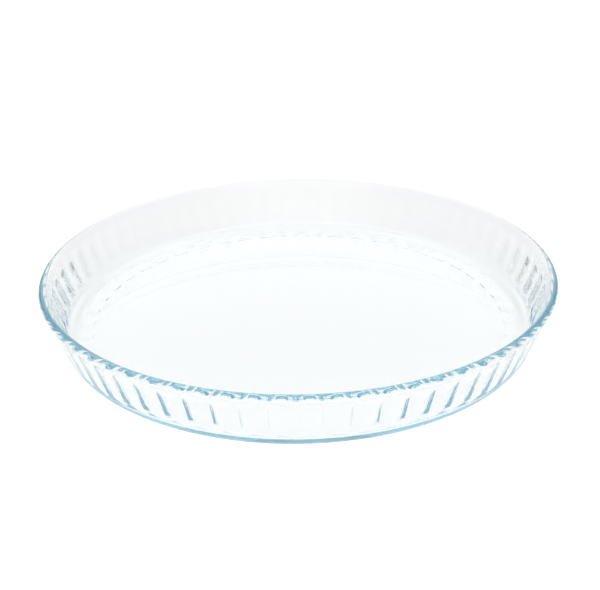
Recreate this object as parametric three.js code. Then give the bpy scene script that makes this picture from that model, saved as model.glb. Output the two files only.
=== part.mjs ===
// Round fluted baking pan of pressed clear glass, made in one piece.
// A flat floor on a shallow foot ring, a flared wall with hollow flutes inside, and a round bead for a rim.
import * as THREE from "three";
import * as BufferGeometryUtils from "three/addons/utils/BufferGeometryUtils.js";

// Sizes in millimetres. Z is up, the axis of the pan is Z and its foot stands on Z = 0.
const RIM_DIAMETER = 300;
const HEIGHT = 36.6;
const WALL_THICKNESS = 4.4;
const BEAD_OVERHANG = 0.6;
const BEAD_NECK_RADIUS = 1;
const FOOT_DIAMETER = 262;
const FOOT_RING_WIDTH = 8.6;
const RECESS_DEPTH = 0.6;
const RECESS_SLOPE_WIDTH = 1.2;
const FLOOR_THICKNESS = 4;
const CORNER_RADIUS = 9;
const FILLET_RADIUS = 8;

// Hollow round flutes side by side on the inner face of the wall, with a ridge between each two.
// The flutes end in round arches inside the bead. The ridges run out at the foot of the wall,
// over a length that reaches down a little way on the fillet.
const FLUTE_COUNT = 64;
const FLUTE_RADIUS = 20.5;
const FLUTE_DEPTH = 1.15;
const FLUTE_ARCH_HEIGHT = 6;
const RIDGE_TOE_LENGTH = 5.5;
const RIDGE_TOE_DROP = 3;

// Fineness of the faceted surfaces.
const FACETS_PER_FLUTE = 4;
const CORNER_STEPS = 3;
const NECK_STEPS = 2;
const BEAD_STEPS = 2;
const BEAD_OUTER_STEPS = 3;
const ARCH_STEPS = 2;
const FILLET_STEPS = 3;

const GLASS_COLOUR = 0xcfe4ee;

function polar(length, angle) {
  return new THREE.Vector2(length * Math.cos(angle), length * Math.sin(angle));
}

// A point of the section. On the fluted face it also has its distance up from the foot of the wall.
function station(at, along = null) {
  return { at, along };
}

// Stations along an arc, without its first point.
function arc(centre, radius, from, to, steps) {
  const stations = [];
  for (let i = 1; i <= steps; i += 1) {
    const angle = THREE.MathUtils.lerp(from, to, i / steps);
    stations.push(station(centre.clone().add(polar(radius, angle))));
  }
  return stations;
}

// The bead is flush with the ridges inside the wall and stands out from the outer face.
// The outer face is the straight line that touches the base corner and passes the bead's centre.
const beadRadius = (WALL_THICKNESS + BEAD_OVERHANG) / 2;
const beadCentre = new THREE.Vector2(RIM_DIAMETER / 2 - beadRadius, HEIGHT - beadRadius);
const cornerCentre = new THREE.Vector2(FOOT_DIAMETER / 2, CORNER_RADIUS);
const wallOffset = WALL_THICKNESS - beadRadius;
const span = beadCentre.clone().sub(cornerCentre);
const lean = Math.acos((CORNER_RADIUS - wallOffset) / span.length()) - span.angle();
const outwards = polar(1, -lean);
const upwards = polar(1, Math.PI / 2 - lean);
const inwardAngle = Math.PI - lean;

// Small hollow under the bead, where it stands out from the wall.
const neckOut = wallOffset + BEAD_NECK_RADIUS;
const neckDown = Math.sqrt((beadRadius + BEAD_NECK_RADIUS) ** 2 - neckOut ** 2);
const neckCentre = beadCentre.clone().addScaledVector(outwards, neckOut).addScaledVector(upwards, -neckDown);
const neckAngle = Math.atan2(neckCentre.y - beadCentre.y, neckCentre.x - beadCentre.x);
const wallTop = neckCentre.clone().addScaledVector(outwards, -BEAD_NECK_RADIUS);

// Inner face of the wall at the bottom of the flutes, from the bead down to the fillet on the floor.
const floorTop = RECESS_DEPTH + FLOOR_THICKNESS;
const innerTop = beadCentre.clone().addScaledVector(outwards, FLUTE_DEPTH - beadRadius);
const filletHeight = floorTop + FILLET_RADIUS;
const wallRun = (innerTop.y + FILLET_RADIUS * Math.sin(lean) - filletHeight) / Math.cos(lean);
const innerFoot = innerTop.clone().addScaledVector(upwards, -wallRun);
const filletCentre = innerFoot.clone().addScaledVector(outwards, -FILLET_RADIUS);

// The fluted face from the bead down to the edge of the floor.
function flutedFace() {
  const stations = [];
  for (let i = 0; i <= ARCH_STEPS; i += 1) {
    const along = wallRun - (FLUTE_ARCH_HEIGHT * i) / ARCH_STEPS;
    stations.push(station(innerFoot.clone().addScaledVector(upwards, along), along));
  }
  const toeTop = RIDGE_TOE_LENGTH - RIDGE_TOE_DROP;
  stations.push(station(innerFoot.clone().addScaledVector(upwards, toeTop), toeTop));
  const turn = Math.PI / 2 - lean;
  for (let i = 0; i <= FILLET_STEPS; i += 1) {
    const angle = (turn * i) / FILLET_STEPS;
    const at = filletCentre.clone().add(polar(FILLET_RADIUS, -lean - angle));
    stations.push(station(at, -angle * FILLET_RADIUS));
  }
  return stations;
}

// Section of the pan: out along the underside, up the wall, over the bead and back along the inside.
function panSection() {
  const footInside = FOOT_DIAMETER / 2 - FOOT_RING_WIDTH;
  return [
    station(new THREE.Vector2(0, RECESS_DEPTH)),
    station(new THREE.Vector2(footInside - RECESS_SLOPE_WIDTH, RECESS_DEPTH)),
    station(new THREE.Vector2(footInside, 0)),
    station(new THREE.Vector2(FOOT_DIAMETER / 2, 0)),
    ...arc(cornerCentre, CORNER_RADIUS, -Math.PI / 2, -lean, CORNER_STEPS),
    station(wallTop),
    ...arc(neckCentre, BEAD_NECK_RADIUS, inwardAngle, neckAngle + Math.PI, NECK_STEPS),
    ...arc(beadCentre, beadRadius, neckAngle, 0, BEAD_STEPS),
    ...arc(beadCentre, beadRadius, 0, Math.PI / 2, BEAD_OUTER_STEPS),
    ...arc(beadCentre, beadRadius, Math.PI / 2, inwardAngle, BEAD_STEPS).slice(0, -1),
    ...flutedFace(),
    station(new THREE.Vector2(0, floorTop)),
  ];
}

// How far the inner face stands in from the bottom of the flutes, at a distance from a flute's middle line.
function ridgeHeight(along, across) {
  const head = THREE.MathUtils.clamp(1 - (wallRun - along) / FLUTE_ARCH_HEIGHT, 0, 1);
  const toe = THREE.MathUtils.smoothstep(along, -RIDGE_TOE_DROP, RIDGE_TOE_LENGTH - RIDGE_TOE_DROP);
  const rise = FLUTE_RADIUS - Math.sqrt(Math.max(0, FLUTE_RADIUS ** 2 - across ** 2));
  return Math.min(FLUTE_DEPTH, FLUTE_DEPTH * head ** 2 + rise) * toe;
}

// The section turned about the axis, with the ridges raised on its inner face.
function panGeometry() {
  const section = panSection();
  const segments = FLUTE_COUNT * FACETS_PER_FLUTE;
  const geometry = new THREE.LatheGeometry(section.map((s) => s.at), segments);
  const position = geometry.attributes.position;
  const pitch = (2 * Math.PI) / FLUTE_COUNT;
  for (let i = 0; i <= segments; i += 1) {
    const fromRidge = (i % FACETS_PER_FLUTE) / FACETS_PER_FLUTE;
    const angle = (2 * Math.PI * i) / segments;
    section.forEach((s, j) => {
      const across = (fromRidge - 0.5) * pitch * s.at.x;
      const height = s.along === null ? 0 : ridgeHeight(s.along, across);
      const raised = s.at.clone().addScaledVector(outwards, -height);
      const vertex = i * section.length + j;
      position.setXYZ(vertex, raised.x * Math.sin(angle), raised.y, raised.x * Math.cos(angle));
    });
  }
  geometry.rotateX(Math.PI / 2);
  geometry.deleteAttribute("normal");
  geometry.deleteAttribute("uv");
  const closed = BufferGeometryUtils.mergeVertices(geometry);
  closed.computeVertexNormals();
  return closed;
}

const glass = new THREE.MeshStandardMaterial({ color: GLASS_COLOUR, roughness: 0.05, metalness: 0 });
glass.name = "clear_glass";

const pan = new THREE.Mesh(panGeometry(), glass);
pan.name = "fluted_pan";

const part = new THREE.Group();
part.name = "glass_pizza_pan";
part.add(pan);

export default part;
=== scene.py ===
# Clear pressed-glass pizza pan: the fine glass body, its material and a small white studio.
import math

import bpy
from mathutils import Matrix, Vector


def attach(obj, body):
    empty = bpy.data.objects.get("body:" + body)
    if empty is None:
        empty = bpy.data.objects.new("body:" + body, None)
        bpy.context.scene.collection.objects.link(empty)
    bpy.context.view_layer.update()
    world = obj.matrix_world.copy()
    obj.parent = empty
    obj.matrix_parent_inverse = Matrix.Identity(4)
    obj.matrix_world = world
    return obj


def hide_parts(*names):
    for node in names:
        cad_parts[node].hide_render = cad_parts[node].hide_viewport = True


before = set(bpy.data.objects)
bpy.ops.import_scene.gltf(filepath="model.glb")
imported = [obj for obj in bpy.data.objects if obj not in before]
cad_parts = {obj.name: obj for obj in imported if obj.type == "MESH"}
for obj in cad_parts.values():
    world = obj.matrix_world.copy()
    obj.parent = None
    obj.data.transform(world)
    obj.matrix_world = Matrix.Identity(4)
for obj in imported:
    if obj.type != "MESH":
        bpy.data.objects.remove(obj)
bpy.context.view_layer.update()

MM = 0.001

# Sizes of the pan in millimetres, as in the solid model.
RIM_DIAMETER = 300.0
HEIGHT = 36.6
WALL = 4.4
OVERHANG = 0.6
NECK = 1.0
FOOT_DIAMETER = 262.0
FOOT_RING = 8.6
RECESS = 0.6
FLOOR = 4.0
CORNER = 9.0
FILLET = 8.0
FLUTES = 64

# Finer form of the flutes: a round middle with flatter flanks, an arched head below the bead,
# and ridges that run out at the foot, partly on the fillet.
FLUTE_RADIUS = 14.0
FLUTE_MIDDLE = 2.8
FLANK_RADIUS = 30.0
FLUTE_DEPTH = 1.37
HEAD_DROP = 3.4
HEAD_LENGTH = 5.5
RIDGE_TOE = 5.5
RIDGE_END = 3.0

# The foot ring's inner step, broken into soft pads that show as a ring of dashes through the floor.
FOOT_STEP = 0.35
FOOT_STEP_WIDTH = 0.7
RECESS_SLOPE = 8.0
FOOT_PADS = 48
PAD_TURN = math.radians(3.3)

# Narrow strips beside an edge, which keep the faces next to it flat under smooth shading.
STEP_STRIP = 0.3
FOOT_STRIP = 0.6
FLOOR_STRIP = 0.8

# Fineness of the section, and of a flute, whose steps are closer beside its ridges.
CORNER_STEPS = 10
NECK_STEPS = 4
BEAD_STEPS = 6
OUTER_WALL_STEPS = 3
HEAD_STEPS = 12
INNER_WALL_STEPS = 11
RIDGE_STEPS = 2
FLANK_STEPS = 2
MIDDLE_STEPS = 10
RIDGE_STRIP = 0.6
FLANK_STRIP = 1.2
FLUTE_CIRCLE = 140.0

# The pan is modelled as one sector and then repeated round the axis.
SECTORS = 16
NEAR = 0.01
NEAR_AXIS = 1.0

# The glass: its refraction, the blue that it takes on with depth, its wiping smears and its ripple.
GLASS_IOR = 1.473
GLASS_BLUE = (0.3, 0.74, 0.86, 1)
GLASS_DENSITY = 4.8
SMEAR_SCALE = 45
SMEAR_DETAIL = 4
SMEAR_RANGE = (0.55, 0.8)
SMEAR_TINT = (0.985, 0.988, 0.99, 1)
SMEAR_ROUGHNESS = 0.012
RIPPLE_SCALE = 28
RIPPLE_DETAIL = 1
RIPPLE_HEIGHT = 0.02

# The studio, in metres and light levels. A sky level goes with its height, from the horizon to the top.
TABLE_RADIUS = 6
TABLE_DROP = 0.0002
SWEEP_EDGE = (0.24, 0.6)
# Painted light: the table glows for rays from the glass, most under the pan and not at all at the sides.
PAINTED_LIGHT_IN_GLASS = 0.39
GLOW_SEEN = 0.62
TABLE_WHITE = (0.82, 0.82, 0.82, 1)
# Painted shade: the table's colour at its sides, grey where only the glass sees it.
TABLE_PAINTED_SHADE = (0.3, 0.3, 0.3, 1)
SKY_STRENGTH = 1.6
SKY_LEVELS = (
    (0.0, 0.47),
    (0.12, 0.55),
    (0.38, 0.6),
    (0.5, 0.36),
    (0.62, 0.5),
    (0.75, 0.97),
    (0.86, 0.97),
    (0.94, 0.13),
    (1.0, 0.13),
)
SIDE_SHADE = (0.075, 0.09, 0.095, 1)
SIDE_EDGE = (0.35, 0.75)
SIDE_TOP = (0.6, 0.9)
SEEN_WHITE = (1 / SKY_STRENGTH, 1 / SKY_STRENGTH, 1 / SKY_STRENGTH, 1)

# The camera, fitted to the outlines of rim and base: millimetres, degrees and pixels.
CAMERA_ELEVATION = 26.04
CAMERA_ROLL = -0.88
CAMERA_TURN = 0.8
CAMERA_DISTANCE = 653.4
CAMERA_SLIDE = -0.92
CAMERA_RISE = -14.75
FOCAL_PIXELS = 1082.3
PHOTO_WIDTH = 600
SENSOR_WIDTH = 36
CLIP_START = 0.01

# Light runs a long way inside the rim and the wall, which gives the glass its blue edges.
LIGHT_BOUNCES = 400


def polar(length, angle):
    return Vector((length * math.cos(angle), length * math.sin(angle)))


def arc(centre, radius, start, end, steps):
    return [centre + polar(radius, start + (end - start) * i / steps) for i in range(steps + 1)]


def between(a, b, steps):
    return [a.lerp(b, i / steps) for i in range(1, steps)]


# The bead is flush with the ridges inside the wall. The outer face touches the base corner.
BEAD = (WALL + OVERHANG) / 2
BEAD_CENTRE = Vector((RIM_DIAMETER / 2 - BEAD, HEIGHT - BEAD))
CORNER_CENTRE = Vector((FOOT_DIAMETER / 2, CORNER))
SPAN = BEAD_CENTRE - CORNER_CENTRE
LEAN = math.acos((CORNER - WALL + BEAD) / SPAN.length) - math.atan2(SPAN.y, SPAN.x)
OUTWARDS = polar(1, -LEAN)
UPWARDS = polar(1, math.pi / 2 - LEAN)
INWARD_ANGLE = math.pi - LEAN

# The small hollow under the bead.
NECK_OUT = WALL - BEAD + NECK
NECK_DOWN = math.sqrt((BEAD + NECK) ** 2 - NECK_OUT ** 2)
NECK_CENTRE = BEAD_CENTRE + OUTWARDS * NECK_OUT - UPWARDS * NECK_DOWN
NECK_ANGLE = math.atan2(NECK_CENTRE.y - BEAD_CENTRE.y, NECK_CENTRE.x - BEAD_CENTRE.x)

# The inner face at the bottom of the flutes, from the bead down to the fillet on the floor.
FLOOR_TOP = RECESS + FLOOR
INNER_TOP = BEAD_CENTRE - OUTWARDS * (BEAD - FLUTE_DEPTH)
WALL_RUN = (INNER_TOP.y + FILLET * math.sin(LEAN) - FLOOR_TOP - FILLET) / math.cos(LEAN)
INNER_FOOT = INNER_TOP - UPWARDS * WALL_RUN
FILLET_CENTRE = INNER_FOOT - OUTWARDS * FILLET
FOOT_INSIDE = FOOT_DIAMETER / 2 - FOOT_RING


def underside():
    """The recess, the step and the foot ring, from the middle out to the base corner."""
    step = FOOT_INSIDE - FOOT_STEP_WIDTH
    return [
        Vector((0, RECESS)),
        Vector((step - RECESS_SLOPE, RECESS)),
        Vector((step - STEP_STRIP, FOOT_STEP)),
        Vector((step, FOOT_STEP)),
        Vector((FOOT_INSIDE, 0)),
        Vector((FOOT_INSIDE + STEP_STRIP, 0)),
        Vector((FOOT_DIAMETER / 2 - FOOT_STRIP, 0)),
    ]


def pan_section():
    """The pan's section from the middle of the underside, round the rim, to the middle of the floor."""
    corner = arc(CORNER_CENTRE, CORNER, -math.pi / 2, -LEAN, CORNER_STEPS)
    neck = arc(NECK_CENTRE, NECK, INWARD_ANGLE, NECK_ANGLE + math.pi, NECK_STEPS)
    bead = arc(BEAD_CENTRE, BEAD, NECK_ANGLE, 0, BEAD_STEPS)
    bead += arc(BEAD_CENTRE, BEAD, 0, math.pi / 2, BEAD_STEPS)[1:]
    bead += arc(BEAD_CENTRE, BEAD, math.pi / 2, INWARD_ANGLE, BEAD_STEPS)[1:-1]
    fillet = arc(FILLET_CENTRE, FILLET, -LEAN, -math.pi / 2, CORNER_STEPS)
    head = (HEAD_DROP + HEAD_LENGTH) / HEAD_STEPS
    points = underside() + corner + between(corner[-1], neck[0], OUTER_WALL_STEPS) + neck + bead[1:]
    points += [INNER_TOP - UPWARDS * head * i for i in range(HEAD_STEPS + 1)]
    points += between(points[-1], fillet[0], INNER_WALL_STEPS) + fillet
    points += [fillet[-1] - Vector((FLOOR_STRIP, 0)), Vector((0, FLOOR_TOP))]
    return points


def start_piece(name):
    """A new mesh in edit mode, holding one vertex at the origin."""
    bpy.ops.object.select_all(action="DESELECT")
    bpy.ops.mesh.primitive_plane_add(size=MM)
    piece = bpy.context.object
    piece.name = piece.data.name = name
    bpy.ops.object.mode_set(mode="EDIT")
    bpy.ops.mesh.select_all(action="SELECT")
    bpy.ops.mesh.merge(type="CENTER")
    return piece


def draw(points):
    """Moves the single vertex to the first point and extrudes it along the others, in the XZ plane."""
    place = [Vector((p.x, 0, p.y)) * MM for p in points]
    bpy.ops.transform.translate(value=place[0])
    for a, b in zip(place, place[1:]):
        bpy.ops.mesh.extrude_vertices_move(TRANSFORM_OT_translate={"value": b - a})


def flute_rise(across):
    """Rise of a flute's surface from its middle line."""
    middle = math.asin(min(across, FLUTE_MIDDLE) / FLUTE_RADIUS)
    flank = math.asin(math.sin(middle) + max(0, across - FLUTE_MIDDLE) / FLANK_RADIUS)
    return FLUTE_RADIUS * (1 - math.cos(middle)) + FLANK_RADIUS * (math.cos(middle) - math.cos(flank))


def ridge_height(at, across):
    """How far the inner face stands in from the flutes' bottom, at a distance from a flute's middle."""
    on_wall = at - INNER_FOOT
    along = on_wall.dot(UPWARDS)
    from_fillet = at - FILLET_CENTRE
    if abs(from_fillet.length - FILLET) < NEAR and from_fillet.x > 0 and along < 0:
        along = (math.atan2(from_fillet.y, from_fillet.x) + LEAN) * FILLET
    elif abs(on_wall.dot(OUTWARDS)) > NEAR or not 0 <= along <= WALL_RUN + NEAR:
        return 0.0
    head = min(1, max(0, 1 - (WALL_RUN - HEAD_DROP - along) / HEAD_LENGTH))
    toe = min(1, max(0, (along + RIDGE_END) / RIDGE_TOE))
    height = min(FLUTE_DEPTH, math.hypot(FLUTE_DEPTH * head, flute_rise(abs(across))))
    return height * toe ** 2 * (3 - 2 * toe)


def pad_gap(turn):
    """1 in the gaps between the pads of the foot ring, 0 on the pads."""
    return 0.5 - 0.5 * math.cos((turn - PAD_TURN) * FOOT_PADS)


def press_flutes_and_pads(pan):
    """Moves the turned sector's vertices in to the ridges, and up in the gaps between the pads."""
    pitch = 2 * math.pi / FLUTES
    for v in pan.data.vertices:
        at = Vector((v.co.xy.length, v.co.z)) / MM
        if at.x < NEAR_AXIS:
            continue
        turn = math.atan2(v.co.y, v.co.x)
        new = at - OUTWARDS * ridge_height(at, (turn % pitch - pitch / 2) * at.x)
        if at.y < NEAR and at.x < FOOT_INSIDE + 2 * STEP_STRIP:
            new.y = FOOT_STEP * pad_gap(turn)
        v.co.x *= new.x / at.x
        v.co.y *= new.x / at.x
        v.co.z = new.y * MM


def make_pan():
    pan = start_piece("pressed_glass_pan")
    draw(pan_section())
    bpy.ops.mesh.select_all(action="SELECT")
    ridge, flank = RIDGE_STRIP / FLUTE_CIRCLE, FLANK_STRIP / FLUTE_CIRCLE
    middle = 2 * math.pi / FLUTES - 2 * ridge - 2 * flank
    half = ((RIDGE_STEPS, ridge), (FLANK_STEPS, flank))
    flute = half + ((MIDDLE_STEPS, middle),) + half[::-1]
    for steps, angle in flute * (FLUTES // SECTORS):
        bpy.ops.mesh.spin(steps=steps, angle=angle, center=(0, 0, 0), axis=(0, 0, 1))
    bpy.ops.object.mode_set(mode="OBJECT")
    press_flutes_and_pads(pan)
    bpy.ops.object.mode_set(mode="EDIT")
    bpy.ops.mesh.select_all(action="SELECT")
    rest = 2 * math.pi * (1 - 1 / SECTORS)
    bpy.ops.mesh.spin(steps=SECTORS - 1, dupli=True, angle=rest, center=(0, 0, 0), axis=(0, 0, 1))
    bpy.ops.mesh.select_all(action="SELECT")
    bpy.ops.mesh.remove_doubles(threshold=NEAR * MM)
    bpy.ops.mesh.normals_make_consistent(inside=False)
    bpy.ops.object.mode_set(mode="OBJECT")
    bpy.ops.object.shade_smooth()
    return pan


def put(tree, socket, value):
    """Links a node's output to a socket, or sets the socket to a plain value."""
    if isinstance(value, bpy.types.NodeSocket):
        tree.links.new(value, socket)
    else:
        socket.default_value = value


def number(tree, operation, *values):
    node = tree.nodes.new("ShaderNodeMath")
    node.operation = operation
    for socket, value in zip(node.inputs, values):
        put(tree, socket, value)
    return node.outputs[0]


def fade(tree, value, start, end, first=0.0, last=1.0):
    """A soft change from the first level to the last while the value goes from start to end."""
    node = tree.nodes.new("ShaderNodeMapRange")
    node.interpolation_type = "SMOOTHSTEP"
    put(tree, node.inputs["Value"], value)
    put(tree, node.inputs["From Min"], start)
    put(tree, node.inputs["From Max"], end)
    put(tree, node.inputs["To Min"], first)
    put(tree, node.inputs["To Max"], last)
    return node.outputs["Result"]


def blend(tree, factor, a, b):
    node = tree.nodes.new("ShaderNodeMix")
    node.data_type = "RGBA"
    put(tree, node.inputs["Factor"], factor)
    put(tree, node.inputs["A"], a)
    put(tree, node.inputs["B"], b)
    return node.outputs["Result"]


def grain(tree, place, scale, detail):
    node = tree.nodes.new("ShaderNodeTexNoise")
    put(tree, node.inputs["Vector"], place)
    node.inputs["Scale"].default_value = scale
    node.inputs["Detail"].default_value = detail
    return node.outputs["Fac"]


def clear_glass():
    """Clear glass, faintly blue inside, with a slight ripple from the press and faint wiping smears."""
    mat = bpy.data.materials.new("clear_blue_glass")
    mat.use_nodes = True
    tree = mat.node_tree
    bsdf = tree.nodes["Principled BSDF"]
    place = tree.nodes.new("ShaderNodeTexCoord").outputs["Object"]
    smear = fade(tree, grain(tree, place, SMEAR_SCALE, SMEAR_DETAIL), *SMEAR_RANGE)
    put(tree, bsdf.inputs["Base Color"], blend(tree, smear, (1, 1, 1, 1), SMEAR_TINT))
    put(tree, bsdf.inputs["Roughness"], number(tree, "MULTIPLY", smear, SMEAR_ROUGHNESS))
    bsdf.inputs["IOR"].default_value = GLASS_IOR
    bsdf.inputs["Transmission Weight"].default_value = 1.0
    ripple = tree.nodes.new("ShaderNodeBump")
    ripple.inputs["Strength"].default_value = 1.0
    ripple.inputs["Distance"].default_value = RIPPLE_HEIGHT * MM
    put(tree, ripple.inputs["Height"], grain(tree, place, RIPPLE_SCALE, RIPPLE_DETAIL))
    put(tree, bsdf.inputs["Normal"], ripple.outputs["Normal"])
    inside = tree.nodes.new("ShaderNodeVolumeAbsorption")
    inside.inputs["Color"].default_value = GLASS_BLUE
    inside.inputs["Density"].default_value = GLASS_DENSITY
    put(tree, tree.nodes["Material Output"].inputs["Volume"], inside.outputs["Volume"])
    return mat


pan = make_pan()
pan.data.materials.clear()
pan.data.materials.append(clear_glass())
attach(pan, "root")
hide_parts("fluted_pan")


def sweep_with_painted_light_and_shade():
    """White to the eye. In and through the glass it is white under the pan, helped by a painted light glow,
    and grey at the sides as painted shade.
    """
    mat = bpy.data.materials.new("sweep_with_painted_light_and_shade")
    mat.use_nodes = True
    tree = mat.node_tree
    tree.nodes.clear()
    split = tree.nodes.new("ShaderNodeSeparateXYZ")
    put(tree, split.inputs[0], tree.nodes.new("ShaderNodeTexCoord").outputs["Object"])
    aside = fade(tree, number(tree, "ABSOLUTE", split.outputs["X"]), *SWEEP_EDGE)
    path = tree.nodes.new("ShaderNodeLightPath").outputs
    through = number(tree, "MAXIMUM", path["Is Glossy Ray"], path["Is Transmission Ray"])
    # Painted light: a glow on the table that only the glass sees, strongest under the pan.
    glass_painted_light = number(tree, "MULTIPLY", through, fade(tree, aside, 0, 1, PAINTED_LIGHT_IN_GLASS, 0.0))
    seen = number(tree, "MULTIPLY", path["Is Camera Ray"], fade(tree, aside, 0, 1, GLOW_SEEN, 1.0))
    glow = tree.nodes.new("ShaderNodeEmission")
    put(tree, glow.inputs["Strength"], number(tree, "ADD", seen, glass_painted_light))
    diffuse = tree.nodes.new("ShaderNodeBsdfDiffuse")
    # Painted shade: the table's colour turns grey at its sides; to the eye the glow keeps it white.
    put(tree, diffuse.inputs["Color"], blend(tree, aside, TABLE_WHITE, TABLE_PAINTED_SHADE))
    both = tree.nodes.new("ShaderNodeAddShader")
    put(tree, both.inputs[0], diffuse.outputs[0])
    put(tree, both.inputs[1], glow.outputs[0])
    put(tree, tree.nodes.new("ShaderNodeOutputMaterial").inputs["Surface"], both.outputs[0])
    return mat


def table():
    bpy.ops.object.select_all(action="DESELECT")
    bpy.ops.mesh.primitive_circle_add(vertices=64, radius=TABLE_RADIUS, fill_type="NGON", location=(0, 0, 0))
    top = bpy.context.object
    top.name = "table"
    top.location.z = -TABLE_DROP
    bpy.ops.object.transform_apply(location=True)
    top.data.materials.append(sweep_with_painted_light_and_shade())


def studio_light():
    """A bright ring of sky round a dark top, light walls before and behind, darker ones at the sides."""
    world = bpy.data.worlds.new("studio")
    bpy.context.scene.world = world
    world.use_nodes = True
    tree = world.node_tree
    tree.nodes.clear()
    split = tree.nodes.new("ShaderNodeSeparateXYZ")
    put(tree, split.inputs[0], tree.nodes.new("ShaderNodeTexCoord").outputs["Generated"])
    ramp = tree.nodes.new("ShaderNodeValToRGB")
    stops = ramp.color_ramp.elements
    for place, _ in SKY_LEVELS[1:-1]:
        stops.new(place)
    for stop, (_, level) in zip(stops, SKY_LEVELS):
        stop.color = (level, level, level, 1)
    put(tree, ramp.inputs[0], split.outputs["Z"])
    aside = fade(tree, number(tree, "ABSOLUTE", split.outputs["X"]), *SIDE_EDGE)
    low = fade(tree, split.outputs["Z"], *SIDE_TOP, 1.0, 0.0)
    shade = blend(tree, number(tree, "MULTIPLY", aside, low), ramp.outputs["Color"], SIDE_SHADE)
    seen = tree.nodes.new("ShaderNodeLightPath").outputs["Is Camera Ray"]
    sky = tree.nodes.new("ShaderNodeBackground")
    sky.inputs["Strength"].default_value = SKY_STRENGTH
    put(tree, sky.inputs["Color"], blend(tree, seen, shade, SEEN_WHITE))
    put(tree, tree.nodes.new("ShaderNodeOutputWorld").inputs["Surface"], sky.outputs[0])


def camera():
    elevation, roll = math.radians(CAMERA_ELEVATION), math.radians(CAMERA_ROLL)
    ahead = Vector((0, math.cos(elevation), -math.sin(elevation)))
    right = Vector((1, 0, 0))
    up = right.cross(ahead)
    place = -(right * CAMERA_SLIDE + up * CAMERA_RISE + ahead * CAMERA_DISTANCE) * MM
    r = right * math.cos(roll) + up * math.sin(roll)
    u = up * math.cos(roll) - right * math.sin(roll)
    cam = bpy.data.objects.new("camera", bpy.data.cameras.new("camera"))
    bpy.context.collection.objects.link(cam)
    pose = Matrix((
        (r.x, u.x, -ahead.x, place.x),
        (r.y, u.y, -ahead.y, place.y),
        (r.z, u.z, -ahead.z, place.z),
        (0, 0, 0, 1),
    ))
    cam.matrix_world = Matrix.Rotation(math.radians(CAMERA_TURN), 4, "Z") @ pose
    cam.data.sensor_width = SENSOR_WIDTH
    cam.data.lens = FOCAL_PIXELS / PHOTO_WIDTH * SENSOR_WIDTH
    cam.data.clip_start = CLIP_START
    bpy.context.scene.camera = cam


table()
studio_light()
camera()

scene = bpy.context.scene
scene.view_settings.view_transform = "Standard"
scene.cycles.max_bounces = LIGHT_BOUNCES
scene.cycles.glossy_bounces = LIGHT_BOUNCES
scene.cycles.transmission_bounces = LIGHT_BOUNCES
scene.cycles.blur_glossy = 0.0
